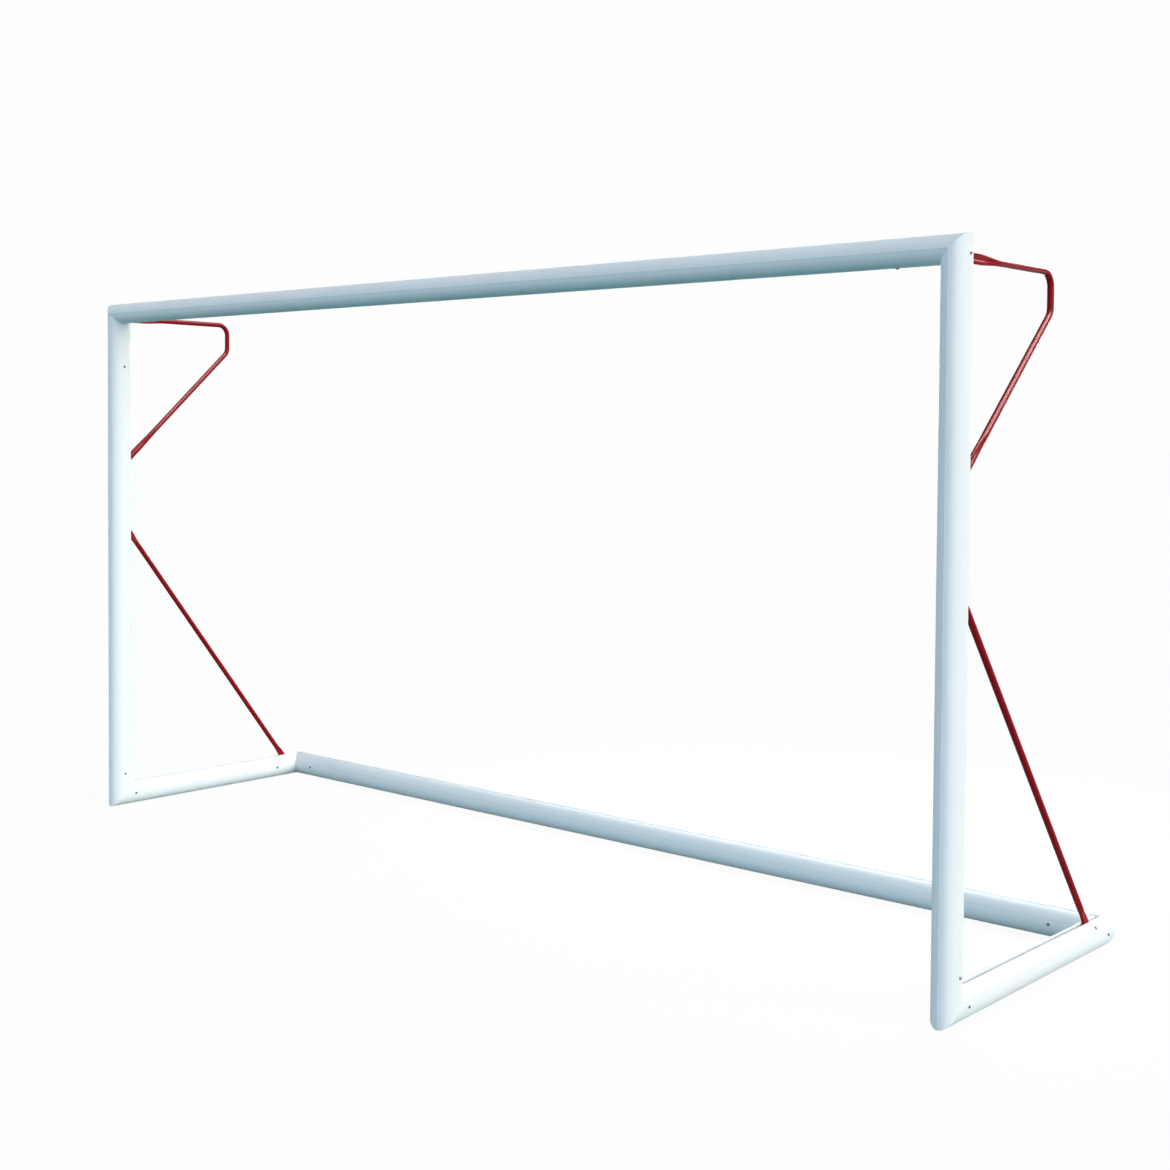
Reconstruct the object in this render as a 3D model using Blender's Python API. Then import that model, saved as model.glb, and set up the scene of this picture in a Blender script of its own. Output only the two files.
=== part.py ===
"""Free-standing football goal: a mitred frame of one oval extrusion, bent net brackets and straight struts.

X runs along the crossbar, Y from the mouth to the back, Z up. The origin is on the ground under the middle.
"""
import math

import bmesh
import bpy
from mathutils import Vector

# Overall size of the frame
WIDTH = 4.00
DEPTH = 1.02
HEIGHT = 2.10

# Oval section of every frame member: across is in the frame's plane at the top, deep runs to the net groove
SECTION_ACROSS = 0.080
SECTION_DEEP = 0.096
WALL = 0.0025
ARC_STEP = math.radians(7.5)
GROOVE_WIDTH = 0.014
GROOVE_DEPTH = 0.022
LIP_CHAMFER = 0.001
RIB_HEIGHT = 0.001
RIB_FOOT = 0.004
RIB_CREST = 0.0024
SIDE_RIB_OFFSET = 0.018

# Gap between pieces that touch, and the saw cut at the corners
GAP = 0.0003
MITRE_ANGLE = math.radians(45.0)

# Edges sharper than this, in degrees, are shaded sharp
SHARP_ANGLE = 35.0

# Hidden corner connectors
CONNECTOR_PLAY = 0.0005
CONNECTOR_WALL = 0.004
CONNECTOR_STEPS = 10
TOP_LEG = 0.26
FRONT_LEG = 0.20
REAR_LEG = 0.20

# Corner screws: distances back from the end of the connector's leg that each one holds
POST_TOP_SCREW = 0.040
CROSSBAR_SCREW = 0.080
POST_FOOT_SCREW = 0.110
GROUND_FRONT_SCREW = 0.148
REAR_SCREW = 0.055

# Pins through the frame's outer corners: distance from the frame's edge
CORNER_PIN = 0.052

# Shape of all these screws
SCREW_SHANK = 0.0025
SCREW_HEAD = 0.005
SCREW_HEAD_HEIGHT = 0.0024
SCREW_RIM_HEIGHT = 0.0012
SCREW_CROWN = 0.0035
SCREW_SOCKET = 0.0017
SCREW_SOCKET_DEPTH = 0.0014
SCREW_REACH = 0.011
ROUND_SIDES = 12

# Red tubes
TUBE_RADIUS = 0.010
TUBE_WALL = 0.002
TUBE_SIDES = 16
BLADE_HALF_THICK = 0.0022
BLADE_HALF_TALL = 0.0155
BLADE_SQUARENESS = 0.3
BLADE_END_PLAY = 0.001
TAPER_STEPS = 6
BEND_STEP = math.radians(12.0)

# Net bracket: drops of its top run and its knee below the frame's top, and its reach behind the mouth
BRACKET_DROP = 0.0575
BRACKET_KNEE_DROP = 0.175
BRACKET_REACH = 0.590
BRACKET_SLOPE = math.radians(43.1)
BRACKET_BEND = 0.045
BRACKET_FLAT = 0.085
BRACKET_TAPER = 0.115

# Strut: height where its centre line leaves the post, and distance of its foot from the frame's back
STRUT_TOP = 1.145
STRUT_FOOT_FROM_BACK = 0.130
STRUT_FLAT = 0.036
STRUT_TAPER = 0.050

# Cross bolts that hold the crushed ends in the groove
BOLT_SHANK = 0.0025
BOLT_HEAD = 0.0046
BOLT_HEAD_HEIGHT = 0.0045
BOLT_FLANGE = 0.0052
BOLT_FLANGE_THICK = 0.0012
BOLT_FROM_END = 0.0055
ACCESS_HOLE = 0.0060
ACCESS_START = 0.012

# Derived places
HALF_ACROSS = SECTION_ACROSS / 2
HALF_DEEP = SECTION_DEEP / 2
OVAL_DEEP = (SECTION_DEEP - RIB_HEIGHT) / 2
OVAL_SHIFT = RIB_HEIGHT / 2
GROOVE_HALF = GROOVE_WIDTH / 2
GROOVE_FLOOR = HALF_DEEP - GROOVE_DEPTH
FRONT = -DEPTH / 2
SIDE_X = WIDTH / 2 - HALF_ACROSS
POST_Y = FRONT + HALF_DEEP
REAR_Y = DEPTH / 2 - HALF_ACROSS
CROSSBAR_Z = HEIGHT - HALF_ACROSS
GROUND_Z = HALF_DEEP
BLADE_END = GROOVE_FLOOR + BLADE_END_PLAY
BRACKET_TOP = HEIGHT - BRACKET_DROP
BRACKET_KNEE = HEIGHT - BRACKET_KNEE_DROP
HOLE_RADIUS = SCREW_SHANK + GAP
BOLT_HOLE = BOLT_SHANK + GAP
GROOVE_WALL_BACK = GROOVE_HALF + WALL

X_AXIS = Vector((1.0, 0.0, 0.0))
Y_AXIS = Vector((0.0, 1.0, 0.0))
Z_AXIS = Vector((0.0, 0.0, 1.0))
SIDES = {"left": -1, "right": 1}


def make_material(name, colour, roughness, metallic):
    material = bpy.data.materials.new(name)
    material.use_nodes = True
    shader = material.node_tree.nodes["Principled BSDF"]
    shader.inputs["Base Color"].default_value = (*colour, 1.0)
    shader.inputs["Roughness"].default_value = roughness
    shader.inputs["Metallic"].default_value = metallic
    return material


def finished_mesh(name, bm, material):
    bmesh.ops.recalc_face_normals(bm, faces=bm.faces)
    mesh = bpy.data.meshes.new(name)
    bm.to_mesh(mesh)
    bm.free()
    mesh.shade_smooth()
    mesh.set_sharp_from_angle(angle=math.radians(SHARP_ANGLE))
    if material:
        mesh.materials.append(material)
    return mesh


def add_object(name, mesh):
    obj = bpy.data.objects.new(name, mesh)
    bpy.context.scene.collection.objects.link(obj)
    return obj


def place(name, mesh, location, outward):
    """A copy of a shared mesh with its own Z axis along the outward direction."""
    obj = add_object(name, mesh)
    obj.location = location
    obj.rotation_euler = outward.to_track_quat("Z", "Y").to_euler()
    return obj


def add_ring(bm, points):
    return [bm.verts.new(point) for point in points]


def bridge(bm, ring_a, ring_b):
    """Quads between two closed rings with the same number of points."""
    count = len(ring_a)
    for i in range(count):
        j = (i + 1) % count
        bm.faces.new((ring_a[i], ring_a[j], ring_b[j], ring_b[i]))


# Section outlines, as points (across, deep) with the groove at +deep


def oval_point(angle, inset=0.0, lift=0.0):
    """A point of the oval at an angle from the groove side, moved in by inset and out by lift."""
    half_u = HALF_ACROSS - inset
    half_v = OVAL_DEEP - inset
    normal = Vector((math.sin(angle) / half_u, math.cos(angle) / half_v)).normalized()
    u = half_u * math.sin(angle) + lift * normal.x
    v = OVAL_SHIFT + half_v * math.cos(angle) + lift * normal.y
    return (u, v)


def spread(start, end, steps):
    return [start + (end - start) * k / steps for k in range(steps + 1)]


def arc_steps(start, end):
    return max(1, round(abs(end - start) / ARC_STEP))


def rib_angles(centre):
    """Angles of a rib's four corners: foot, crest, crest, foot."""
    speed = math.hypot(HALF_ACROSS * math.cos(centre), OVAL_DEEP * math.sin(centre))
    foot = RIB_FOOT / 2 / speed
    crest = RIB_CREST / 2 / speed
    return [centre - foot, centre - crest, centre + crest, centre + foot]


SIDE_RIB = rib_angles(math.acos((SIDE_RIB_OFFSET - OVAL_SHIFT) / OVAL_DEEP))
END_RIB = rib_angles(math.pi)
LIP_ANGLE = math.asin((GROOVE_HALF + LIP_CHAMFER) / HALF_ACROSS)
CAVITY_ANGLE = math.asin(GROOVE_WALL_BACK / (HALF_ACROSS - WALL))
LIP_STEPS = arc_steps(LIP_ANGLE, SIDE_RIB[0])


def half_outline(inset, first_angle):
    """The oval's right half, from the groove to the far side's middle, with ribs on the outer skin only."""
    lift = RIB_HEIGHT if inset == 0.0 else 0.0
    lower_steps = arc_steps(SIDE_RIB[3], END_RIB[0])
    points = [oval_point(a, inset) for a in spread(first_angle, SIDE_RIB[0], LIP_STEPS)]
    points += [oval_point(a, inset, lift) for a in SIDE_RIB[1:3]]
    points += [oval_point(a, inset) for a in spread(SIDE_RIB[3], END_RIB[0], lower_steps)]
    points.append(oval_point(END_RIB[1], inset, lift))
    return points


def outer_outline():
    lip_v = oval_point(LIP_ANGLE)[1]
    right = [(GROOVE_HALF, GROOVE_FLOOR), (GROOVE_HALF, lip_v - LIP_CHAMFER)]
    right += half_outline(0.0, LIP_ANGLE)
    return right + mirrored(right)


def inner_outline():
    """The cavity, with the same number of points as the outer skin."""
    top_v = oval_point(CAVITY_ANGLE, WALL)[1]
    right = [(GROOVE_WALL_BACK, GROOVE_FLOOR - WALL), (GROOVE_WALL_BACK, (GROOVE_FLOOR + top_v) / 2)]
    right += half_outline(WALL, CAVITY_ANGLE)
    return right + mirrored(right)


def mirrored(points):
    return [(-u, v) for u, v in reversed(points)]


def connector_outline(inset):
    """The connector fills the cavity below the groove, less some play."""
    total = WALL + CONNECTOR_PLAY + inset
    top = GROOVE_FLOOR - WALL - CONNECTOR_PLAY - inset
    first = math.acos((top - OVAL_SHIFT) / (OVAL_DEEP - total))
    right = [oval_point(a, total) for a in spread(first, math.pi, CONNECTOR_STEPS)]
    return right + mirrored(right)[1:]


# Frame members


def section_offsets(outline, u_axis, v_axis):
    return [u_axis * u + v_axis * v for u, v in outline]


def mitred_ring(corner, offsets, along, inward, gap):
    """Points where a member that leaves a corner along a direction meets the mitre with its neighbour."""
    return [corner + s + along * (s.dot(inward) + gap) for s in offsets]


def member(name, ends, u_axis, v_axis, material):
    """A hollow extrusion between two corners. Each end gives its corner and its neighbour's direction."""
    (corner_a, inward_a), (corner_b, inward_b) = ends
    along = (corner_b - corner_a).normalized()
    gap = GAP / 2 / math.cos(MITRE_ANGLE)
    bm = bmesh.new()
    rings = []
    for outline in (outer_outline(), inner_outline()):
        offsets = section_offsets(outline, u_axis, v_axis)
        ring_a = add_ring(bm, mitred_ring(corner_a, offsets, along, inward_a, gap))
        ring_b = add_ring(bm, mitred_ring(corner_b, offsets, -along, inward_b, gap))
        bridge(bm, ring_a, ring_b)
        rings.append((ring_a, ring_b))
    bridge(bm, rings[0][0], rings[1][0])
    bridge(bm, rings[0][1], rings[1][1])
    return add_object(name, finished_mesh(name, bm, material))


def connector(name, corner, leg_a, leg_b, length, u_axes, v_axes, material):
    """A hollow elbow: leg_a and leg_b are the legs' directions, with the section's axes in each leg."""
    bm = bmesh.new()
    rings = []
    for inset in (0.0, CONNECTOR_WALL):
        outline = connector_outline(inset)
        in_a = section_offsets(outline, u_axes[0], v_axes[0])
        in_b = section_offsets(outline, u_axes[1], v_axes[1])
        ring_a = add_ring(bm, [corner + s + leg_a * length for s in in_a])
        ring_m = add_ring(bm, mitred_ring(corner, in_a, leg_a, leg_b, 0.0))
        ring_b = add_ring(bm, [corner + s + leg_b * length for s in in_b])
        bridge(bm, ring_a, ring_m)
        bridge(bm, ring_m, ring_b)
        rings.append((ring_a, ring_b))
    bridge(bm, rings[0][0], rings[1][0])
    bridge(bm, rings[0][1], rings[1][1])
    return add_object(name, finished_mesh(name, bm, material))


# Turned pieces and cutters


def turned_ring(bm, origin, axis, corner):
    """One ring of a turned solid, from its place along the axis, its radius and whether it is hexagonal."""
    along, radius, hexagonal = corner
    side = Z_AXIS if abs(axis.z) < 0.5 else X_AXIS
    other = axis.cross(side)
    points = []
    for k in range(ROUND_SIDES):
        angle = 2 * math.pi * k / ROUND_SIDES
        reach = radius * math.cos(math.pi / 6) if hexagonal and k % 2 else radius
        points.append(origin + axis * along + (side * math.cos(angle) + other * math.sin(angle)) * reach)
    return add_ring(bm, points)


def turned(bm, origin, axis, outline):
    """A closed solid turned round an axis, from its tip to its head."""
    rings = [turned_ring(bm, origin, axis, corner) for corner in outline]
    for ring_a, ring_b in zip(rings, rings[1:]):
        bridge(bm, ring_a, ring_b)
    bm.faces.new(rings[0])
    bm.faces.new(rings[-1])


def screw_mesh(material):
    """A socket screw: its origin is on the face under its head, and its shank goes inwards."""
    bm = bmesh.new()
    top = GAP + SCREW_HEAD_HEIGHT
    turned(bm, Vector(), Z_AXIS, [
        (-SCREW_REACH, SCREW_SHANK, False),
        (GAP, SCREW_SHANK, False),
        (GAP, SCREW_HEAD, False),
        (GAP + SCREW_RIM_HEIGHT, SCREW_HEAD, False),
        (top, SCREW_CROWN, False),
        (top, SCREW_SOCKET, True),
        (top - SCREW_SOCKET_DEPTH, SCREW_SOCKET, True),
    ])
    return finished_mesh("corner_screw", bm, material)


def add_hole(bm, seat, outward):
    """A screw's hole, from just past its tip to outside the face."""
    turned(bm, seat, outward, [
        (-SCREW_REACH - GAP, HOLE_RADIUS, False),
        (SCREW_HEAD_HEIGHT, HOLE_RADIUS, False),
    ])


def cut(obj, bm, name):
    """Cut the cylinders of a mesh out of an object."""
    cutter = add_object(name, finished_mesh(name, bm, None))
    cutter.hide_render = True
    cutter.display_type = "WIRE"
    modifier = obj.modifiers.new(name, "BOOLEAN")
    modifier.operation = "DIFFERENCE"
    modifier.solver = "EXACT"
    modifier.object = cutter


def bolt_mesh(material):
    """A hexagon cross bolt that threads into the groove's far wall. Its origin is mid-groove."""
    bm = bmesh.new()
    head_seat = GROOVE_WALL_BACK + GAP
    turned(bm, Vector(), Z_AXIS, [
        (-GROOVE_WALL_BACK, BOLT_SHANK, False),
        (head_seat, BOLT_SHANK, False),
        (head_seat, BOLT_FLANGE, False),
        (head_seat + BOLT_FLANGE_THICK, BOLT_FLANGE, False),
        (head_seat + BOLT_FLANGE_THICK, BOLT_HEAD, True),
        (head_seat + BOLT_HEAD_HEIGHT, BOLT_HEAD, True),
    ])
    return finished_mesh("cross_bolt", bm, material)


def add_bolt_cutter(bm, centre, outward):
    """The bolt's hole through the groove's walls, with a wide hole in the outer skin for its head."""
    turned(bm, centre, outward, [
        (-ACCESS_START, BOLT_HOLE, False),
        (ACCESS_START, BOLT_HOLE, False),
        (ACCESS_START, ACCESS_HOLE, False),
        (HALF_ACROSS + RIB_HEIGHT, ACCESS_HOLE, False),
    ])


# Red tubes


def tube_section(flat, wall):
    """Points (across, in plane) of a tube that is round at flat 0 and crushed into a blade at flat 1."""
    thick = TUBE_RADIUS + (BLADE_HALF_THICK - TUBE_RADIUS) * flat - wall
    tall = TUBE_RADIUS + (BLADE_HALF_TALL - TUBE_RADIUS) * flat - wall
    power = 1.0 + (BLADE_SQUARENESS - 1.0) * flat
    points = []
    for k in range(TUBE_SIDES):
        angle = 2 * math.pi * (k + 0.5) / TUBE_SIDES
        across = math.copysign(abs(math.cos(angle)) ** power, math.cos(angle))
        points.append((thick * across, tall * math.sin(angle)))
    return points


def smooth_step(value):
    value = min(1.0, max(0.0, value))
    return value * value * (3.0 - 2.0 * value)


def path_pieces(corners, bend):
    """Straight and round pieces of a path through corners, each bend with the same radius."""
    pieces = []
    start = corners[0]
    for before, corner, after in zip(corners, corners[1:], corners[2:]):
        come = (corner - before).normalized()
        leave = (after - corner).normalized()
        turn = come.angle(leave)
        inset = bend * math.tan(turn / 2)
        pieces.append(("line", start, come, (corner - come * inset - start).length))
        pieces.append(("arc", corner - come * inset, come, leave, turn, bend * turn))
        start = corner + leave * inset
    last = corners[-1] - start
    pieces.append(("line", start, last.normalized(), last.length))
    return pieces


def path_at(pieces, distance):
    """Point and direction at a distance along the path."""
    for piece in pieces:
        length = piece[-1]
        if distance <= length or piece is pieces[-1]:
            break
        distance -= length
    if piece[0] == "line":
        return piece[1] + piece[2] * distance, piece[2]
    _, start, come, leave, turn, length = piece
    swung = turn * distance / length
    side = (leave - come * leave.dot(come)).normalized()
    radius = length / turn
    direction = come * math.cos(swung) + side * math.sin(swung)
    return start + come * radius * math.sin(swung) + side * radius * (1.0 - math.cos(swung)), direction


def path_stops(pieces, flat, taper):
    """Distances of the rings: ends, the crushed lengths' tapers and the steps of the bends."""
    total = sum(piece[-1] for piece in pieces)
    stops = {0.0, total}
    for k in range(TAPER_STEPS + 1):
        reach = flat + taper * k / TAPER_STEPS
        stops.update((reach, total - reach))
    passed = 0.0
    for piece in pieces:
        if piece[0] == "arc":
            steps = math.ceil(piece[4] / BEND_STEP)
            stops.update(passed + piece[-1] * k / steps for k in range(steps + 1))
        passed += piece[-1]
    return sorted(stops), total


def crushed_tube(name, x, corners, bend, flat, taper, end_normals, material):
    """A tube in a side plane with both ends crushed flat and cut parallel to the groove's floor."""
    pieces = path_pieces(corners, bend)
    stops, total = path_stops(pieces, flat, taper)
    bm = bmesh.new()
    ends = []
    for wall in (0.0, TUBE_WALL):
        rings = []
        for distance in stops:
            centre, direction = path_at(pieces, distance)
            upright = X_AXIS.cross(direction)
            near_end = min(distance, total - distance)
            crush = 1.0 - smooth_step((near_end - flat) / taper)
            points = [centre + X_AXIS * a + upright * b for a, b in tube_section(crush, wall)]
            if distance in (0.0, total):
                normal = end_normals[0] if distance == 0.0 else end_normals[1]
                points = [p + direction * ((centre - p).dot(normal) / direction.dot(normal)) for p in points]
            rings.append(add_ring(bm, points))
        for ring_a, ring_b in zip(rings, rings[1:]):
            bridge(bm, ring_a, ring_b)
        ends.append((rings[0], rings[-1]))
    bridge(bm, ends[0][0], ends[1][0])
    bridge(bm, ends[0][1], ends[1][1])
    for vert in bm.verts:
        vert.co.x += x
    return add_object(name, finished_mesh(name, bm, material))


def bracket_corners():
    start = POST_Y + BLADE_END
    reach = FRONT + BRACKET_REACH
    end_z = BRACKET_KNEE - (reach - start) * math.tan(BRACKET_SLOPE)
    return [Vector((0.0, start, BRACKET_TOP)), Vector((0.0, reach, BRACKET_TOP)),
            Vector((0.0, reach, BRACKET_KNEE)), Vector((0.0, start, end_z))]


def strut_corners():
    top = Vector((0.0, FRONT + SECTION_DEEP, STRUT_TOP))
    foot = Vector((0.0, DEPTH / 2 - STRUT_FOOT_FROM_BACK, SECTION_DEEP))
    along = foot - top
    start = top + along * ((POST_Y + BLADE_END - top.y) / along.y)
    end = top + along * ((GROUND_Z + BLADE_END - top.z) / along.z)
    return [start, end]


def bolt_place(corners, floor_normal):
    """Where a bolt crosses a path's first blade, on the centre line and a fixed distance from its end."""
    along = corners[1] - corners[0]
    return corners[0] + along * (BOLT_FROM_END / abs(along.dot(floor_normal)))


def build_members(white):
    """The six frame members, and the corners where their centre lines meet."""
    top = {side: Vector((sign * SIDE_X, POST_Y, CROSSBAR_Z)) for side, sign in SIDES.items()}
    front = {side: Vector((sign * SIDE_X, POST_Y, GROUND_Z)) for side, sign in SIDES.items()}
    rear = {side: Vector((sign * SIDE_X, REAR_Y, GROUND_Z)) for side, sign in SIDES.items()}
    made = {}
    made["crossbar"] = member(
        "crossbar", ((top["left"], -Z_AXIS), (top["right"], -Z_AXIS)), Z_AXIS, Y_AXIS, white)
    made["rear_ground_bar"] = member(
        "rear_ground_bar", ((rear["left"], -Y_AXIS), (rear["right"], -Y_AXIS)), Y_AXIS, Z_AXIS, white)
    for side, sign in SIDES.items():
        inward = X_AXIS * -sign
        name = side + "_post"
        made[name] = member(name, ((front[side], Y_AXIS), (top[side], inward)), X_AXIS, Y_AXIS, white)
        name = side + "_ground_bar"
        made[name] = member(name, ((front[side], Z_AXIS), (rear[side], inward)), X_AXIS, Z_AXIS, white)
    return made, top, front, rear


def build_connectors(cast, top, front, rear):
    """The elbow inside each corner."""
    made = {}
    for side, sign in SIDES.items():
        inward = X_AXIS * -sign
        name = side + "_top_connector"
        made[name] = connector(name, top[side], -Z_AXIS, inward, TOP_LEG,
                               (inward, -Z_AXIS), (Y_AXIS, Y_AXIS), cast)
        name = side + "_front_connector"
        made[name] = connector(name, front[side], Z_AXIS, Y_AXIS, FRONT_LEG,
                               (X_AXIS, X_AXIS), (Y_AXIS, Z_AXIS), cast)
        name = side + "_rear_connector"
        made[name] = connector(name, rear[side], -Y_AXIS, inward, REAR_LEG,
                               (inward, -Y_AXIS), (Z_AXIS, Z_AXIS), cast)
    return made


def screw_places(side, sign):
    """Each screw of a side: its name, the member and connector it holds, its seat and its direction."""
    out = X_AXIS * sign
    outer_x = sign * (SIDE_X + HALF_ACROSS)
    inner_x = sign * (SIDE_X - HALF_ACROSS)
    mid_y = POST_Y + OVAL_SHIFT
    mid_z = GROUND_Z + OVAL_SHIFT
    front_y = POST_Y + FRONT_LEG - GROUND_FRONT_SCREW
    foot_z = GROUND_Z + FRONT_LEG - POST_FOOT_SCREW
    top_z = CROSSBAR_Z - TOP_LEG + POST_TOP_SCREW
    rear_y = REAR_Y - REAR_LEG + REAR_SCREW
    post = side + "_post"
    bar = side + "_ground_bar"
    return [
        ("crossbar_pin_screw", post, "top", Vector((outer_x, mid_y, HEIGHT - CORNER_PIN)), out),
        ("post_top_screw", post, "top", Vector((inner_x, mid_y, top_z)), -out),
        ("crossbar_screw", "crossbar", "top",
         Vector((sign * (SIDE_X - TOP_LEG + CROSSBAR_SCREW), mid_y, HEIGHT - SECTION_ACROSS)), -Z_AXIS),
        ("post_foot_outer_screw", post, "front", Vector((outer_x, mid_y, foot_z)), out),
        ("post_foot_inner_screw", post, "front", Vector((inner_x, mid_y, foot_z)), -out),
        ("ground_bar_front_outer_screw", bar, "front", Vector((outer_x, front_y, mid_z)), out),
        ("ground_bar_front_inner_screw", bar, "front", Vector((inner_x, front_y, mid_z)), -out),
        ("rear_bar_pin_screw", bar, "rear", Vector((outer_x, DEPTH / 2 - CORNER_PIN, mid_z)), out),
        ("ground_bar_rear_screw", bar, "rear", Vector((inner_x, rear_y, mid_z)), -out),
        ("rear_bar_screw", "rear_ground_bar", "rear",
         Vector((sign * (SIDE_X - REAR_LEG + REAR_SCREW), DEPTH / 2 - SECTION_ACROSS, mid_z)), -Y_AXIS),
    ]


def build_screws(steel, holes):
    """Corner screws, and the holes they need in the members and connectors."""
    mesh = screw_mesh(steel)
    for side, sign in SIDES.items():
        for name, member_name, corner, seat, outward in screw_places(side, sign):
            place(side + "_" + name, mesh, seat, outward)
            for target in (member_name, side + "_" + corner + "_connector"):
                add_hole(holes.setdefault(target, bmesh.new()), seat, outward)


def build_tubes(red):
    """Brackets and struts, with the places of their cross bolts and the member that each end enters."""
    bracket = bracket_corners()
    strut = strut_corners()
    made = {}
    bolts = []
    for side, sign in SIDES.items():
        x = sign * SIDE_X
        name = side + "_net_bracket"
        made[name] = crushed_tube(name, x, bracket, BRACKET_BEND, BRACKET_FLAT, BRACKET_TAPER,
                                  (Y_AXIS, Y_AXIS), red)
        bolts.append((side, "bracket_top", name, "_post", bolt_place(bracket, Y_AXIS)))
        bolts.append((side, "bracket_low", name, "_post", bolt_place(bracket[::-1], Y_AXIS)))
        name = side + "_strut"
        made[name] = crushed_tube(name, x, strut, BRACKET_BEND, STRUT_FLAT, STRUT_TAPER,
                                  (Y_AXIS, Z_AXIS), red)
        bolts.append((side, "strut_top", name, "_post", bolt_place(strut, Y_AXIS)))
        bolts.append((side, "strut_foot", name, "_ground_bar", bolt_place(strut[::-1], Z_AXIS)))
    return made, bolts


def build_bolts(steel, bolts, holes):
    """A cross bolt for each crushed end, and the holes it needs."""
    bolt = bolt_mesh(steel)
    for side, place_name, tube, host, centre in bolts:
        centre = centre + X_AXIS * SIDES[side] * SIDE_X
        outward = X_AXIS * SIDES[side]
        place(side + "_" + place_name + "_bolt", bolt, centre, outward)
        add_bolt_cutter(holes.setdefault(side + host, bmesh.new()), centre, outward)
        turned(holes.setdefault(tube, bmesh.new()), centre, X_AXIS,
               [(-GROOVE_HALF, BOLT_HOLE, False), (GROOVE_HALF, BOLT_HOLE, False)])


for leftover in list(bpy.data.objects):
    bpy.data.objects.remove(leftover)

white_coat = make_material("white_powder_coat", (0.86, 0.88, 0.89), 0.35, 0.0)
red_coat = make_material("red_powder_coat", (0.35, 0.012, 0.018), 0.3, 0.0)
cast_alloy = make_material("cast_aluminium", (0.60, 0.61, 0.62), 0.5, 0.9)
zinc_steel = make_material("zinc_plated_steel", (0.45, 0.46, 0.48), 0.4, 0.9)

pieces, top_corner, front_corner, rear_corner = build_members(white_coat)
pieces.update(build_connectors(cast_alloy, top_corner, front_corner, rear_corner))
tubes, cross_bolts = build_tubes(red_coat)
pieces.update(tubes)
piece_holes = {}
build_screws(zinc_steel, piece_holes)
build_bolts(zinc_steel, cross_bolts, piece_holes)
for piece_name, hole_mesh in piece_holes.items():
    cut(pieces[piece_name], hole_mesh, piece_name + "_holes")
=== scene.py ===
"""Looks of a free-standing football goal: white oval frame, red coated tubes and dark socket screws."""
import math

import bmesh
import bpy
from mathutils import Matrix, Vector


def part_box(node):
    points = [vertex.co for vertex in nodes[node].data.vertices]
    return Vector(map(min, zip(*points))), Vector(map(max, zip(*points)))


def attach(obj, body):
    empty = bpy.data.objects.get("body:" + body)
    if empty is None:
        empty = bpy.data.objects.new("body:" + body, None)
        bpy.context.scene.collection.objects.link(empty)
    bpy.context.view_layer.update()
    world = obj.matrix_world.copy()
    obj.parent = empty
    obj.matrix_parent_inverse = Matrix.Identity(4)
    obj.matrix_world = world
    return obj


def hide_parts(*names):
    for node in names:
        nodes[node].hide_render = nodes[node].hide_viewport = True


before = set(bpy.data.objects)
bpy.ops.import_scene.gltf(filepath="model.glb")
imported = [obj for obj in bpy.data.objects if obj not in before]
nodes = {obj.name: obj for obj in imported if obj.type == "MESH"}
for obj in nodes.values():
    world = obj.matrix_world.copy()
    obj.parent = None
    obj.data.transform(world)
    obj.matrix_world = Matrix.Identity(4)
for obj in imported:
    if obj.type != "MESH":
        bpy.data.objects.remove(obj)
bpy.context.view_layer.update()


# Frame members: crossbar, two posts, two side bars and a rear bar. All are one hollow oval aluminium
# extrusion with a net groove and three fine drill ribs, sawn at 45 degrees, drilled for the cross bolts
# and then powder-coated white.

ACROSS = 0.080
DEEP = 0.096
WALL = 0.0025
GROOVE_HALF = 0.007
GROOVE_DEPTH = 0.022
LIP_RADIUS = 0.0012
RIB_HEIGHT = 0.001
RIB_HALF = 0.002
SIDE_RIB_AT = 0.018
SAW_GAP = 0.0003
ACCESS_RADIUS = 0.006
# How far an access hole's drill keeps from the groove's wall inside, and how far it stands out of the skin.
DRILL_CLEAR = 0.002
DRILL_SEGMENTS = 32
# Steps round the drawn section in radians: a plain one, and a fine one that holds this near a rib's crest.
PLAIN_STEP, FINE_STEP, FINE_REACH = 0.06, 0.006, 0.055
# Points round a groove lip. The hollow's outline has as many up the groove's wall, a wall step apart, and
# its oval starts with steps of at least so many radians.
LIP_STEPS = 5
WALL_STEP = 0.002
HOLLOW_STEP = 0.004
MERGE_REACH = 0.000001

X_AXIS, Y_AXIS, Z_AXIS = Vector((1.0, 0.0, 0.0)), Vector((0.0, 1.0, 0.0)), Vector((0.0, 0.0, 1.0))
# The section is drawn in u, sideways, and v, towards the groove.
HALF_U, HALF_V = ACROSS / 2, (DEEP - RIB_HEIGHT) / 2
SIDE_RIB_ANGLE = math.acos((SIDE_RIB_AT - RIB_HEIGHT / 2) / HALF_V)

crossbar_low, crossbar_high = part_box("crossbar")
rear_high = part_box("rear_ground_bar")[1]
goal_width = crossbar_high.x - crossbar_low.x + SAW_GAP * math.sqrt(2.0)
side_x = (goal_width - ACROSS) / 2
front_y = crossbar_low.y
post_y = front_y + DEEP / 2
rear_y = rear_high.y - ACROSS / 2
crossbar_z = crossbar_high.z - ACROSS / 2
ground_z = DEEP / 2


def srgb(code):
    """A hex colour as the linear numbers that the shaders take."""
    values = [int(code[i:i + 2], 16) / 255 for i in (1, 3, 5)]
    linear = [v / 12.92 if v <= 0.04045 else ((v + 0.055) / 1.055) ** 2.4 for v in values]
    return (*linear, 1.0)


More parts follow.
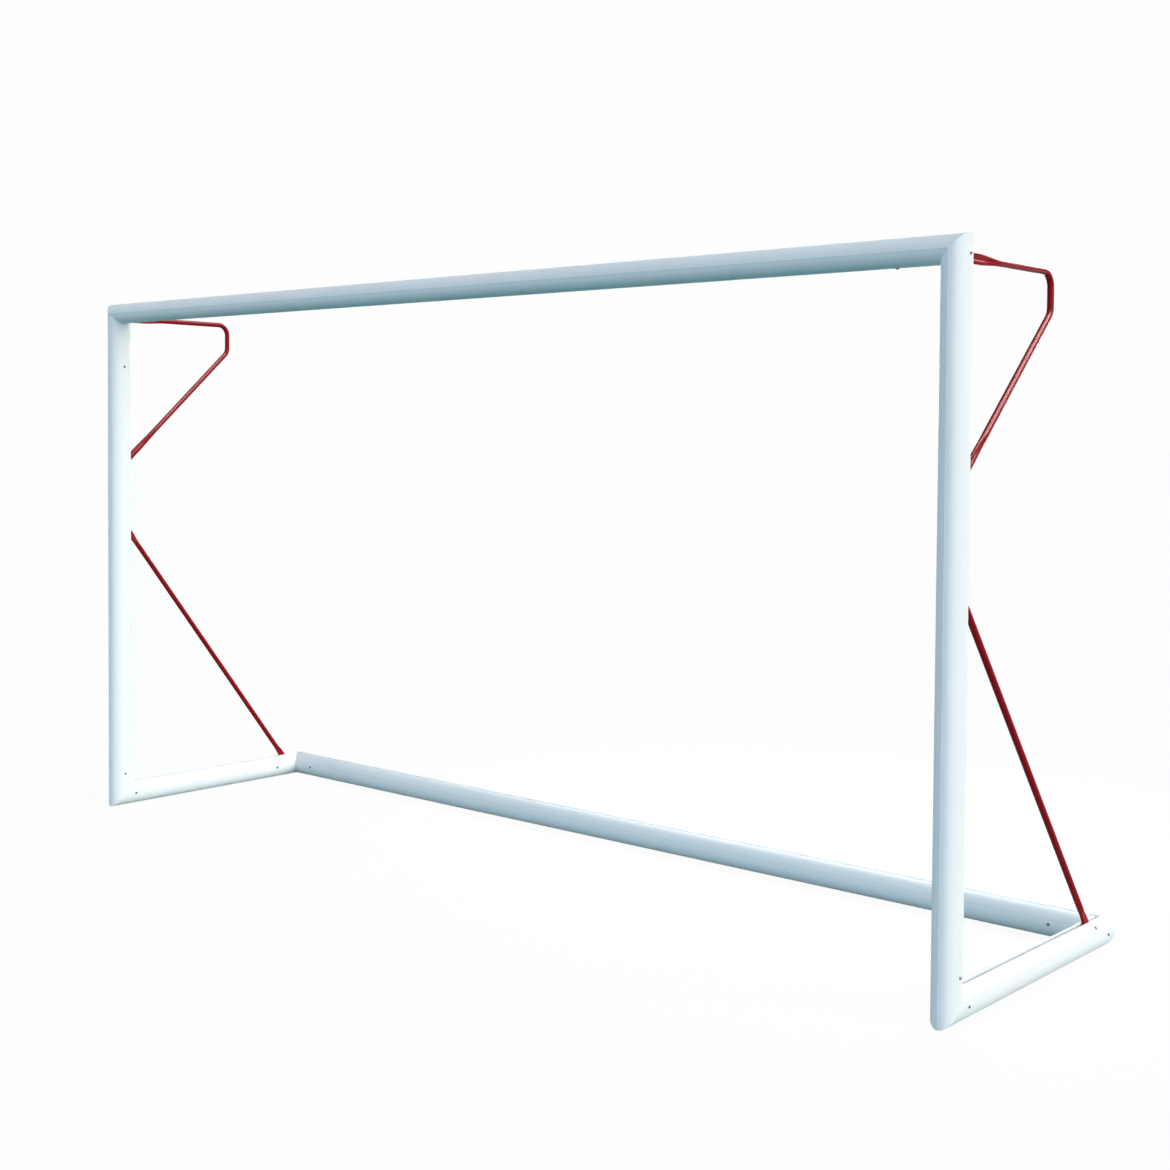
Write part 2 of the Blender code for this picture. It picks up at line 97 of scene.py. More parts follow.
def add_node(tree, kind, settings=None, **inputs):
    """Adds one node. Settings are its own properties.

    Inputs are values, sockets, nodes or lists of these, by the socket's name or, as i0, i1 and so on, by its
    place."""
    node = tree.nodes.new(kind)
    for name, value in (settings or {}).items():
        setattr(node, name, value)
    for name, value in inputs.items():
        socket = node.inputs[int(name[1:]) if name[1:].isdigit() else name.replace("_", " ")]
        for source in value if isinstance(value, list) else [value]:
            if isinstance(source, bpy.types.Node):
                source = next(output for output in source.outputs if output.enabled)
            if isinstance(source, bpy.types.NodeSocket):
                tree.links.new(source, socket)
            else:
                socket.default_value = source
    return node


MATH, VECTOR = "ShaderNodeMath", "ShaderNodeVectorMath"
COMBINE, SPLIT = "ShaderNodeCombineXYZ", "ShaderNodeSeparateXYZ"
NOISE, RANGE, BLEND, BUMP = "ShaderNodeTexNoise", "ShaderNodeMapRange", "ShaderNodeMix", "ShaderNodeBump"
PRINCIPLED = "ShaderNodeBsdfPrincipled"


def new_material(name):
    """A material with an empty node tree, and that tree."""
    material = bpy.data.materials.new(name)
    material.use_nodes = True
    material.node_tree.nodes.clear()
    return material, material.node_tree


def white_powder_coat():
    """Satin white polyester powder, baked: an even skin, barely cloudy, with soft orange peel and a little
    dust within two fingers' breadth of the ground."""
    cloud_mm, dust_mm, dust_top_mm = 300.0, 15.0, 40.0
    # Real orange peel is 2 to 3 mm from crest to crest. It is drawn at 12 mm, because less wouldn't show.
    peel_mm, peel_depth = 12.0, 0.0003
    dim_white, full_white, dust_colour = srgb("#ebeff1"), srgb("#f0f3f4"), srgb("#a9a79c")
    smoothest, roughest, thickest_dust = 0.48, 0.56, 0.35
    # A real coat's specular level is 0.5. It is low here, or the all-white studio would pale the shades.
    # Other scenes may want the real one.
    specular_level = 0.05
    material, tree = new_material("white_powder_coated_aluminium")
    coords = add_node(tree, "ShaderNodeTexCoord").outputs["Object"]
    cloud = add_node(tree, NOISE, Vector=coords, Scale=1000.0 / cloud_mm, Detail=3.0, Roughness=0.55)
    clean = add_node(tree, BLEND, {"data_type": "RGBA"}, i0=cloud, i6=dim_white, i7=full_white)
    height = add_node(tree, SPLIT, Vector=coords).outputs["Z"]
    low = add_node(tree, RANGE, Value=height, i1=0.0, i2=dust_top_mm / 1000.0, i3=1.0, i4=0.0)
    specks = add_node(tree, NOISE, Vector=coords, Scale=1000.0 / dust_mm, Detail=5.0, Roughness=0.7)
    thick = add_node(tree, RANGE, Value=specks, i1=0.45, i2=0.75, i3=0.0, i4=thickest_dust)
    dust = add_node(tree, MATH, {"operation": "MULTIPLY"}, i0=low, i1=thick)
    colour = add_node(tree, BLEND, {"data_type": "RGBA"}, i0=dust, i6=clean, i7=dust_colour)
    rough = add_node(tree, RANGE, Value=cloud, i1=0.3, i2=0.7, i3=smoothest, i4=roughest)
    peel = add_node(tree, NOISE, Vector=coords, Scale=1000.0 / peel_mm, Detail=2.0)
    bump = add_node(tree, BUMP, Height=peel, Strength=0.15, Distance=peel_depth)
    shader = add_node(tree, PRINCIPLED, Base_Color=colour, Roughness=rough, Normal=bump, IOR=1.5)
    shader.inputs["Specular IOR Level"].default_value = specular_level
    add_node(tree, "ShaderNodeOutputMaterial", Surface=shader)
    return material


def oval_point(angle, inset=0.0, lift=0.0):
    """A point of the section's oval at an angle from the groove's middle, set in or lifted off it."""
    half_u, half_v = HALF_U - inset, HALF_V - inset
    normal = Vector((math.sin(angle) / half_u, math.cos(angle) / half_v)).normalized()
    return (half_u * math.sin(angle) + lift * normal.x,
            RIB_HEIGHT / 2 + half_v * math.cos(angle) + lift * normal.y)


def rib_lift(angle):
    """Height of the drill ribs over the oval: a round crest on each side and one opposite the groove."""
    u, v = oval_point(angle)
    lift = 0.0
    for crest in (SIDE_RIB_ANGLE, math.pi):
        crest_u, crest_v = oval_point(crest)
        away = math.hypot(u - crest_u, v - crest_v) / RIB_HALF
        if away < 1.0:
            lift = RIB_HEIGHT * math.sqrt(1.0 - away ** 2)
    return lift


def section_face():
    """The sawn face of the extrusion as a flat ring, with finer steps round the ribs."""
    lip = math.asin((GROOVE_HALF + LIP_RADIUS) / HALF_U)
    angles = [lip]
    while angles[-1] < math.pi - FINE_STEP / 2:
        near = min(abs(angles[-1] - SIDE_RIB_ANGLE), abs(angles[-1] - math.pi))
        step = FINE_STEP if near < FINE_REACH else PLAIN_STEP
        angles.append(min(math.pi, angles[-1] + step))
    angles.pop()
    lip_v = oval_point(lip)[1]
    floor = DEEP / 2 - GROOVE_DEPTH
    outer = [(GROOVE_HALF, floor)]
    for i in range(LIP_STEPS):
        turn = math.pi / 2 / LIP_STEPS * i
        lip_u = GROOVE_HALF + LIP_RADIUS * (1 - math.cos(turn))
        outer.append((lip_u, lip_v - LIP_RADIUS * (1 - math.sin(turn))))
    outer += [oval_point(angle, 0.0, rib_lift(angle)) for angle in angles]
    outer.append((0.0, oval_point(math.pi, 0.0, RIB_HEIGHT)[1]))
    back = GROOVE_HALF + WALL
    start = math.asin(back / (HALF_U - WALL))
    inner = [(back, floor - WALL)]
    inner += [(back, floor + WALL_STEP * (i + 1)) for i in range(LIP_STEPS)]
    inner += [oval_point(max(angle, start + HOLLOW_STEP * i), WALL) for i, angle in enumerate(angles)]
    inner.append((0.0, oval_point(math.pi, WALL)[1]))
    bm = bmesh.new()
    rings = []
    for side in (outer, inner):
        outline = side + [(-u, v) for u, v in reversed(side[:-1])]
        rings.append([bm.verts.new((u, v, 0.0)) for u, v in outline])
    for i in range(len(rings[0])):
        j = (i + 1) % len(rings[0])
        bm.faces.new((rings[0][j], rings[0][i], rings[1][i], rings[1][j]))
    mesh = bpy.data.meshes.new("oval_section")
    bm.to_mesh(mesh)
    bm.free()
    return mesh


def new_geometry_tree(name, result, **sockets):
    """An empty geometry tree with named inputs and one geometry output."""
    tree = bpy.data.node_groups.new(name, "GeometryNodeTree")
    for socket, kind in sockets.items():
        label = socket.replace("_", " ")
        tree.interface.new_socket(label, in_out="INPUT", socket_type="NodeSocket" + kind)
    tree.interface.new_socket(result, in_out="OUTPUT", socket_type="NodeSocketGeometry")
    return tree, add_node(tree, "NodeGroupInput").outputs


def mitred_extrusion_tree():
    """Extrudes a flat section from one corner of the frame to the next and shears both ends to the cuts."""
    tree, given = new_geometry_tree(
        "mitred_extrusion", "Member", Section="Geometry", Start_Corner="Vector", End_Corner="Vector",
        Across_Axis="Vector", Deep_Axis="Vector", Start_Inward="Vector", End_Inward="Vector",
        Saw_Gap="Float", Coat="Material")
    rise = add_node(tree, COMBINE, Z=1.0)
    raised = add_node(tree, "GeometryNodeExtrudeMesh", {"mode": "FACES"}, Mesh=given["Section"], Offset=rise,
                      Offset_Scale=1.0, Individual=False)
    base = add_node(tree, "GeometryNodeFlipFaces", Mesh=given["Section"])
    joined = add_node(tree, "GeometryNodeJoinGeometry", Geometry=[raised, base])
    solid = add_node(tree, "GeometryNodeMergeByDistance", Geometry=joined, Distance=MERGE_REACH)
    place = add_node(tree, SPLIT, Vector=add_node(tree, "GeometryNodeInputPosition"))
    at_end = place.outputs["Z"]
    at_start = add_node(tree, MATH, {"operation": "SUBTRACT"}, i0=1.0, i1=at_end)
    across = add_node(tree, VECTOR, {"operation": "SCALE"}, i0=given["Across Axis"],
                      Scale=place.outputs["X"])
    deep = add_node(tree, VECTOR, {"operation": "SCALE"}, i0=given["Deep Axis"], Scale=place.outputs["Y"])
    offset = add_node(tree, VECTOR, {"operation": "ADD"}, i0=across, i1=deep)
    run = add_node(tree, VECTOR, {"operation": "SUBTRACT"}, i0=given["End Corner"], i1=given["Start Corner"])
    along = add_node(tree, VECTOR, {"operation": "NORMALIZE"}, i0=run)
    start_slant = add_node(tree, VECTOR, {"operation": "DOT_PRODUCT"}, i0=offset, i1=given["Start Inward"])
    end_slant = add_node(tree, VECTOR, {"operation": "DOT_PRODUCT"}, i0=offset, i1=given["End Inward"])
    start_cut = add_node(tree, MATH, {"operation": "ADD"}, i0=start_slant, i1=given["Saw Gap"])
    end_cut = add_node(tree, MATH, {"operation": "ADD"}, i0=end_slant, i1=given["Saw Gap"])
    from_start = add_node(tree, MATH, {"operation": "MULTIPLY"}, i0=start_cut, i1=at_start)
    from_end = add_node(tree, MATH, {"operation": "MULTIPLY"}, i0=end_cut, i1=at_end)
    shift = add_node(tree, MATH, {"operation": "SUBTRACT"}, i0=from_start, i1=from_end)
    corner = add_node(tree, VECTOR, {"operation": "MULTIPLY_ADD"}, i0=run, i1=at_end,
                      i2=given["Start Corner"])
    moved = add_node(tree, VECTOR, {"operation": "MULTIPLY_ADD"}, i0=along, i1=shift, i2=offset)
    position = add_node(tree, VECTOR, {"operation": "ADD"}, i0=corner, i1=moved)
    placed = add_node(tree, "GeometryNodeSetPosition", Geometry=solid, Position=position)
    real = add_node(tree, "GeometryNodeRealizeInstances", Geometry=placed)
    coated = add_node(tree, "GeometryNodeSetMaterial", Geometry=real, Material=given["Coat"])
    add_node(tree, "NodeGroupOutput", Member=coated)
    return tree


def new_object(name, data):
    """An object of the scene that shows a mesh, a lamp or a camera."""
    obj = bpy.data.objects.new(name, data)
    bpy.context.scene.collection.objects.link(obj)
    return obj


def plain_copy(name, obj, sharp_degrees=30.0):
    """The evaluated object as a plain mesh object, shaded smooth up to that angle. The first one goes."""
    bpy.context.view_layer.update()
    mesh = bpy.data.meshes.new_from_object(obj.evaluated_get(bpy.context.evaluated_depsgraph_get()))
    bpy.data.objects.remove(obj)
    mesh.name = name
    mesh.shade_smooth()
    mesh.set_sharp_from_angle(angle=math.radians(sharp_degrees))
    return new_object(name, mesh)


def run_tree(name, mesh, tree, sharp_degrees=30.0, **values):
    """Runs a geometry tree on a mesh, its inputs set by their identifiers, and keeps the plain result."""
    holder = new_object(name + "_holder", mesh)
    modifier = holder.modifiers.new(name, "NODES")
    modifier.node_group = tree
    for item in tree.interface.items_tree:
        key = item.name.replace(" ", "_")
        if item.in_out == "INPUT" and key in values:
            modifier[item.identifier] = values[key]
    return plain_copy(name, holder, sharp_degrees)


def drilled(piece, bolts):
    """The member with the round access holes of its cross bolts cut through its outer skin."""
    inner, outer = GROOVE_HALF + WALL + DRILL_CLEAR, ACROSS / 2 + DRILL_CLEAR
    bm = bmesh.new()
    for bolt in bolts:
        low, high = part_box(bolt)
        middle = (low + high) / 2
        place = Vector((math.copysign(side_x + (inner + outer) / 2, middle.x), middle.y, middle.z))
        along_x = Matrix.Translation(place) @ Matrix.Rotation(math.pi / 2, 4, "Y")
        bmesh.ops.create_cone(bm, cap_ends=True, segments=DRILL_SEGMENTS, radius1=ACCESS_RADIUS,
                              radius2=ACCESS_RADIUS, depth=outer - inner, matrix=along_x)
    mesh = bpy.data.meshes.new("drill")
    bm.to_mesh(mesh)
    bm.free()
    drill = new_object("drill", mesh)
    modifier = piece.modifiers.new("drill", "BOOLEAN")
    modifier.operation, modifier.solver, modifier.object = "DIFFERENCE", "EXACT", drill
    name = piece.name
    piece.name = name + "_undrilled"
    result = plain_copy(name, piece)
    bpy.data.objects.remove(drill)
    return result


white_coat = white_powder_coat()
flat_section = section_face()
flat_section.materials.append(white_coat)
mitred_extrusion = mitred_extrusion_tree()
bolt_nodes = sorted(name for name in nodes if name.endswith("_bolt"))
left_top, right_top = (Vector((s * side_x, post_y, crossbar_z)) for s in (-1, 1))
left_front, right_front = (Vector((s * side_x, post_y, ground_z)) for s in (-1, 1))
left_rear, right_rear = (Vector((s * side_x, rear_y, ground_z)) for s in (-1, 1))
# Each member: the corners it runs between, the section's sideways and groove directions, and the direction
# into the frame at each of the two cuts.
cuts = {
    "crossbar": (left_top, right_top, -Z_AXIS, Y_AXIS, -Z_AXIS, -Z_AXIS),
    "rear_ground_bar": (left_rear, right_rear, Y_AXIS, Z_AXIS, -Y_AXIS, -Y_AXIS),
    "left_post": (left_front, left_top, X_AXIS, Y_AXIS, Y_AXIS, X_AXIS),
    "right_post": (right_front, right_top, X_AXIS, Y_AXIS, Y_AXIS, -X_AXIS),
    "left_ground_bar": (left_front, left_rear, -X_AXIS, Z_AXIS, Z_AXIS, X_AXIS),
    "right_ground_bar": (right_front, right_rear, -X_AXIS, Z_AXIS, Z_AXIS, -X_AXIS),
}
for name, (start, end, across, deep, start_inward, end_inward) in cuts.items():
    piece = run_tree(name + "_extrusion", flat_section, mitred_extrusion, Start_Corner=start, End_Corner=end,
                     Across_Axis=across, Deep_Axis=deep, Start_Inward=start_inward, End_Inward=end_inward,
                     Saw_Gap=SAW_GAP / math.sqrt(2.0), Coat=white_coat)
    side, _, member = name.partition("_")
    at_foot = member == "ground_bar"
    bolts = [bolt for bolt in bolt_nodes if bolt.startswith(side) and ("foot" in bolt) == at_foot]
    if bolts:
        piece = drilled(piece, bolts)
    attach(piece, "root")
    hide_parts(name)


# Corner connectors: hollow elbows of cast aluminium, as they leave the mould, slid into both members at
# each mitred corner and hidden inside the frame. Their solids come from the CAD and get their finish here.


def cast_aluminium():
    """Bare sand casting: dull grey, grainy as the sand was, with shallow pits."""
    grain_mm, stain_mm, pit_depth = 1.5, 25.0, 0.0006
    dark_grey, pale_grey = srgb("#8e9092"), srgb("#b2b4b5")
    material, tree = new_material("sand_cast_aluminium")
    coords = add_node(tree, "ShaderNodeTexCoord").outputs["Object"]
    grain = add_node(tree, NOISE, Vector=coords, Scale=1000.0 / grain_mm, Detail=6.0, Roughness=0.7)
    stain = add_node(tree, NOISE, Vector=coords, Scale=1000.0 / stain_mm, Detail=3.0)
    colour = add_node(tree, BLEND, {"data_type": "RGBA"}, i0=stain, i6=dark_grey, i7=pale_grey)
    bump = add_node(tree, BUMP, Height=grain, Strength=0.4, Distance=pit_depth)
    shader = add_node(tree, PRINCIPLED, Base_Color=colour, Normal=bump, Metallic=0.9, Roughness=0.55)
    add_node(tree, "ShaderNodeOutputMaterial", Surface=shader)
    return material


casting = cast_aluminium()
for name in nodes:
    if name.endswith("_connector"):
        nodes[name].data.materials.clear()
        nodes[name].data.materials.append(casting)


# Corner screws: self-tapping button heads of dark coated steel with a hexagon socket, two or more at each
# corner. They go through the extrusion's wall into the elbow inside, with the heads left on the surface.

SCREW_HEAD_RADIUS = 0.005
SCREW_CROWN_RADIUS = 0.0035
SCREW_RIM_HEIGHT = 0.0012
SCREW_HEAD_HEIGHT = 0.0024
SCREW_SHANK_RADIUS = 0.0025
SCREW_LENGTH = 0.011
SOCKET_RADIUS = 0.0017
SOCKET_DEPTH = 0.0014
HEAD_SEGMENTS, CROWN_RINGS, SHANK_SEGMENTS = 48, 4, 24


def dark_zinc_flake():
    """Baked zinc-flake coat on steel: dark grey, dull, faintly speckled by the flakes."""
    # Real flakes are under 0.1 mm. The speckle is drawn at 0.8 mm, or a close view wouldn't show it.
    flake_mm = 0.8
    dark_flake, pale_flake = srgb("#353b40"), srgb("#555c62")
    material, tree = new_material("dark_zinc_flake_steel")
    coords = add_node(tree, "ShaderNodeTexCoord").outputs["Object"]
    flake = add_node(tree, NOISE, Vector=coords, Scale=1000.0 / flake_mm, Detail=2.0)
    colour = add_node(tree, BLEND, {"data_type": "RGBA"}, i0=flake, i6=dark_flake, i7=pale_flake)
    rough = add_node(tree, RANGE, Value=flake, i3=0.42, i4=0.58)
    shader = add_node(tree, PRINCIPLED, Base_Color=colour, Roughness=rough, Metallic=0.6)
    add_node(tree, "ShaderNodeOutputMaterial", Surface=shader)
    return material


def socket_screw_tree():
    """Puts a socket screw on every seat point, turned to the point's outward direction."""
    tree, given = new_geometry_tree(
        "socket_screws", "Screws", Seats="Geometry", Head_Radius="Float", Crown_Radius="Float",
        Rim_Height="Float", Head_Height="Float", Shank_Radius="Float", Length="Float", Socket_Radius="Float",
        Socket_Depth="Float", Coat="Material")
    half_rim = add_node(tree, MATH, {"operation": "MULTIPLY"}, i0=given["Rim Height"], i1=0.5)
    rim = add_node(tree, "GeometryNodeMeshCylinder", Vertices=HEAD_SEGMENTS, Radius=given["Head Radius"],
                   Depth=given["Rim Height"])
    rim_place = add_node(tree, COMBINE, Z=half_rim)
    rim_up = add_node(tree, "GeometryNodeTransform", Geometry=rim, Translation=rim_place)
    crown_height = add_node(tree, MATH, {"operation": "SUBTRACT"}, i0=given["Head Height"],
                            i1=given["Rim Height"])
    crown = add_node(tree, "GeometryNodeMeshCone", Vertices=HEAD_SEGMENTS, Side_Segments=CROWN_RINGS,
                     Radius_Top=given["Crown Radius"], Radius_Bottom=given["Head Radius"],
                     Depth=crown_height)
    crown_place = add_node(tree, COMBINE, Z=given["Rim Height"])
    crown_up = add_node(tree, "GeometryNodeTransform", Geometry=crown, Translation=crown_place)
    shank = add_node(tree, "GeometryNodeMeshCylinder", Vertices=SHANK_SEGMENTS,
                     Radius=given["Shank Radius"], Depth=given["Length"])
    shank_drop = add_node(tree, MATH, {"operation": "MULTIPLY_ADD"}, i0=given["Length"], i1=-0.5,
                          i2=half_rim)
    shank_place = add_node(tree, COMBINE, Z=shank_drop)
    shank_down = add_node(tree, "GeometryNodeTransform", Geometry=shank, Translation=shank_place)
    bore_depth = add_node(tree, MATH, {"operation": "MULTIPLY"}, i0=given["Socket Depth"], i1=2.0)
    bore = add_node(tree, "GeometryNodeMeshCylinder", Vertices=6, Radius=given["Socket Radius"],
                    Depth=bore_depth)
    bore_place = add_node(tree, COMBINE, Z=given["Head Height"])
    bore_up = add_node(tree, "GeometryNodeTransform", Geometry=bore, Translation=bore_place)
    whole = add_node(tree, "GeometryNodeMeshBoolean", {"operation": "UNION", "solver": "EXACT"},
                     Mesh_2=[rim_up, crown_up, shank_down])
    screw = add_node(tree, "GeometryNodeMeshBoolean", {"operation": "DIFFERENCE", "solver": "EXACT"},
                     i0=whole, Mesh_2=[bore_up])
    outward = add_node(tree, "GeometryNodeInputNamedAttribute", {"data_type": "FLOAT_VECTOR"},
                       Name="outward")
    turn = add_node(tree, "FunctionNodeAlignRotationToVector", {"axis": "Z"}, Vector=outward)
    driven = add_node(tree, "GeometryNodeInstanceOnPoints", Points=given["Seats"], Instance=screw,
                      Rotation=turn)
    real = add_node(tree, "GeometryNodeRealizeInstances", Geometry=driven)
    coated = add_node(tree, "GeometryNodeSetMaterial", Geometry=real, Material=given["Coat"])
    add_node(tree, "NodeGroupOutput", Screws=coated)
    return tree


screw_nodes = sorted(name for name in nodes if name.endswith("_screw"))
seats, outwards = [], []
for name in screw_nodes:
    low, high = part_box(name)
    seat = (low + high) / 2
    axis = max(range(3), key=lambda i: (high - low)[i])
    # Heads along X face away from the middle of their member, and all others to the front or down.
    sign = 1.0 if axis == 0 and seat.x > math.copysign(side_x, seat.x) else -1.0
    outward = Vector((0.0, 0.0, 0.0))
    outward[axis] = sign
    seat[axis] = (high if sign > 0 else low)[axis] - sign * SCREW_HEAD_HEIGHT
    seats.append(seat)
    outwards.append(outward)
seat_mesh = bpy.data.meshes.new("screw_seats")
seat_mesh.from_pydata(seats, [], [])
for value, outward in zip(seat_mesh.attributes.new("outward", "FLOAT_VECTOR", "POINT").data, outwards):
    value.vector = outward
screw_coat = dark_zinc_flake()
screws = run_tree("corner_screws", seat_mesh, socket_screw_tree(), Head_Radius=SCREW_HEAD_RADIUS,
                  Crown_Radius=SCREW_CROWN_RADIUS, Rim_Height=SCREW_RIM_HEIGHT,
                  Head_Height=SCREW_HEAD_HEIGHT, Shank_Radius=SCREW_SHANK_RADIUS, Length=SCREW_LENGTH,
                  Socket_Radius=SOCKET_RADIUS, Socket_Depth=SOCKET_DEPTH, Coat=screw_coat)
screws.data.attributes.remove(screws.data.attributes["outward"])
# The screws' parts bring an empty material slot with them, so the coat is put on afresh.
screws.data.materials.clear()
screws.data.materials.append(screw_coat)
for face in screws.data.polygons:
    face.material_index = 0
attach(screws, "root")
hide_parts(*screw_nodes)


# Net brackets and struts: 20 mm steel tubes, bent cold, with their ends crushed in a press so that they fit
# the 14 mm groove, the brackets' top ends flattest. They are powder-coated deep red, and cross bolts hold
# them in the groove.

TUBE_RADIUS = 0.010
TUBE_SEGMENTS = 48
TUBE_STEP = 0.005
BEND_STEPS = 12
TUBE_SHARP_DEGREES = 40.0
# A crushed end's half height and its half thickness in the middle and at the folds.
FLAT_END = (0.0155, 0.0020, 0.0032)
OVAL_END = (0.0125, 0.0052, 0.0056)
# How full a blade stays up to its folds: the power of the cosine, where 1 is a plain oval and 0 a box.
FOLD_POWER = 0.25
# The crease's middle and width are shares of the half height.
CREASE_DEPTH = 0.0026
CREASE_AT, CREASE_WIDTH = -0.05, 0.34
# A tube stops this far short of the groove's floor.
BLADE_CLEAR = 0.001
BLADE_END = DEEP / 2 - GROOVE_DEPTH + BLADE_CLEAR
DIMPLE_DEPTH = 0.0030
CUT_REACH = 0.025
# Places of the tubes' centre lines, as distances behind the frame's front and heights over the ground.
BRACKET_TOP = 2.0425
BRACKET_REACH = 0.590
BRACKET_KNEE = 1.925
BRACKET_SLOPE = math.radians(43.1)
BRACKET_BEND = 0.045
BRACKET_FLAT, BRACKET_TAPER = 0.085, 0.115
STRUT_TOP = (0.096, 1.145)
STRUT_FOOT = (0.890, 0.096)
STRUT_FLAT, STRUT_TAPER = 0.036, 0.050
# Attributes that shape a tube: three noted along it, one round it, and two that its corner points bring.
TUBE_NOTES = ("to_end", "centre", "heading", "around", "cut", "blade")


def red_powder_coat():
    """Glossy deep red polyester powder on steel: slightly uneven in depth, with soft orange peel."""
    cloud_mm = 110.0
    # Real orange peel is 2 to 3 mm from crest to crest. It is drawn at 8 mm, because less wouldn't show.
    peel_mm, peel_depth = 8.0, 0.0003
    deep_red, light_red = srgb("#850e17"), srgb("#90111a")
    smoothest, roughest = 0.28, 0.34
    # Here too a real coat's level is 0.5, and the all-white studio would wash the red out with it.
    specular_level = 0.045
    material, tree = new_material("red_powder_coated_steel")
    coords = add_node(tree, "ShaderNodeTexCoord").outputs["Object"]
    cloud = add_node(tree, NOISE, Vector=coords, Scale=1000.0 / cloud_mm, Detail=4.0)
    colour = add_node(tree, BLEND, {"data_type": "RGBA"}, i0=cloud, i6=deep_red, i7=light_red)
    rough = add_node(tree, RANGE, Value=cloud, i1=0.3, i2=0.7, i3=smoothest, i4=roughest)
    peel = add_node(tree, NOISE, Vector=coords, Scale=1000.0 / peel_mm, Detail=2.0)
    bump = add_node(tree, BUMP, Height=peel, Strength=0.05, Distance=peel_depth)
    shader = add_node(tree, PRINCIPLED, Base_Color=colour, Roughness=rough, Normal=bump, IOR=1.5)
    shader.inputs["Specular IOR Level"].default_value = specular_level
    add_node(tree, "ShaderNodeOutputMaterial", Surface=shader)
    return material


